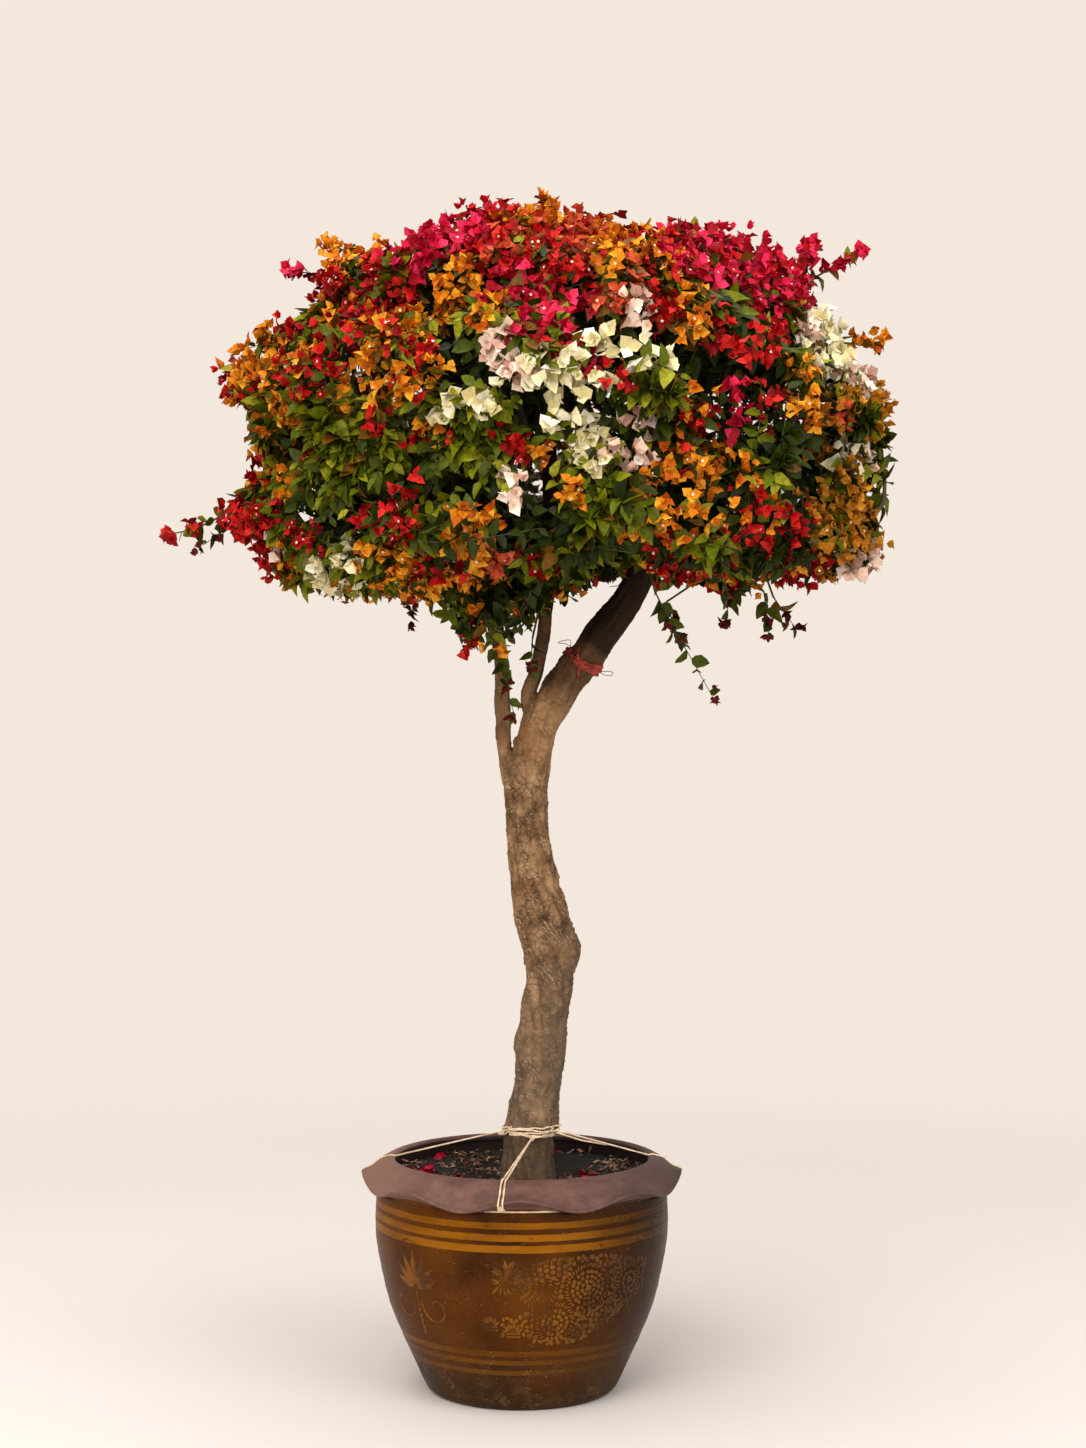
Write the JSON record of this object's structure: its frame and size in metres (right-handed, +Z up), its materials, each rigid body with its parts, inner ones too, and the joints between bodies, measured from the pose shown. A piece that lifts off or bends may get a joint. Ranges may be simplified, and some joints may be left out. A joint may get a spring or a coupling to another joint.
{
  "type": "bougainvillea bush",
  "caption": "Bougainvillea grown as a small tree: a bent bare trunk that forks under a wide domed crown of leaves and mixed bracts, standing in a round glazed pot with a scalloped lip.",
  "frame": {"origin": "centre of the pot's flat underside", "axes": "+Z up along the pot's axis, -Y towards the front, +X to the right seen from the front"},
  "size_m": [1.6609, 1.4271, 2.6108],
  "materials": {
    "pot_glaze": "gloss",
    "compost": "matte",
    "bark": "matte",
    "foliage_green": "satin",
    "foliage_crimson": "matte",
    "foliage_orange": "matte",
    "foliage_amber": "matte",
    "foliage_white": "matte",
    "string": "matte",
    "tape": "satin"
  },
  "bodies": {
    "root": {"pot": "pot_glaze", "soil": "compost", "trunk": "bark", "bough_right": "bark", "bough_left": "bark", "bough_middle": "bark", "bough_to_right_back": "bark", "bough_to_left_back": "bark", "bough_to_left_front": "bark", "bough_to_right_front": "bark", "bough_to_upper_right": "bark", "bough_to_upper_back": "bark", "bough_to_upper_left": "bark", "bough_to_upper_front": "bark", "bough_to_front": "bark", "foliage_right": "foliage_amber", "foliage_right_back": "foliage_orange", "foliage_left_back": "foliage_crimson", "foliage_left": "foliage_crimson", "foliage_left_front": "foliage_green", "foliage_right_front": "foliage_orange", "foliage_upper_right": "foliage_white", "foliage_upper_back": "foliage_crimson", "foliage_upper_left": "foliage_crimson", "foliage_upper_front": "foliage_white", "foliage_front": "foliage_crimson", "foliage_top": "foliage_orange", "string_wrap": "string", "string_neck": "string", "string_left": "string", "string_right": "string", "string_front": "string", "tie": "tape"}
  },
  "joints": []
}
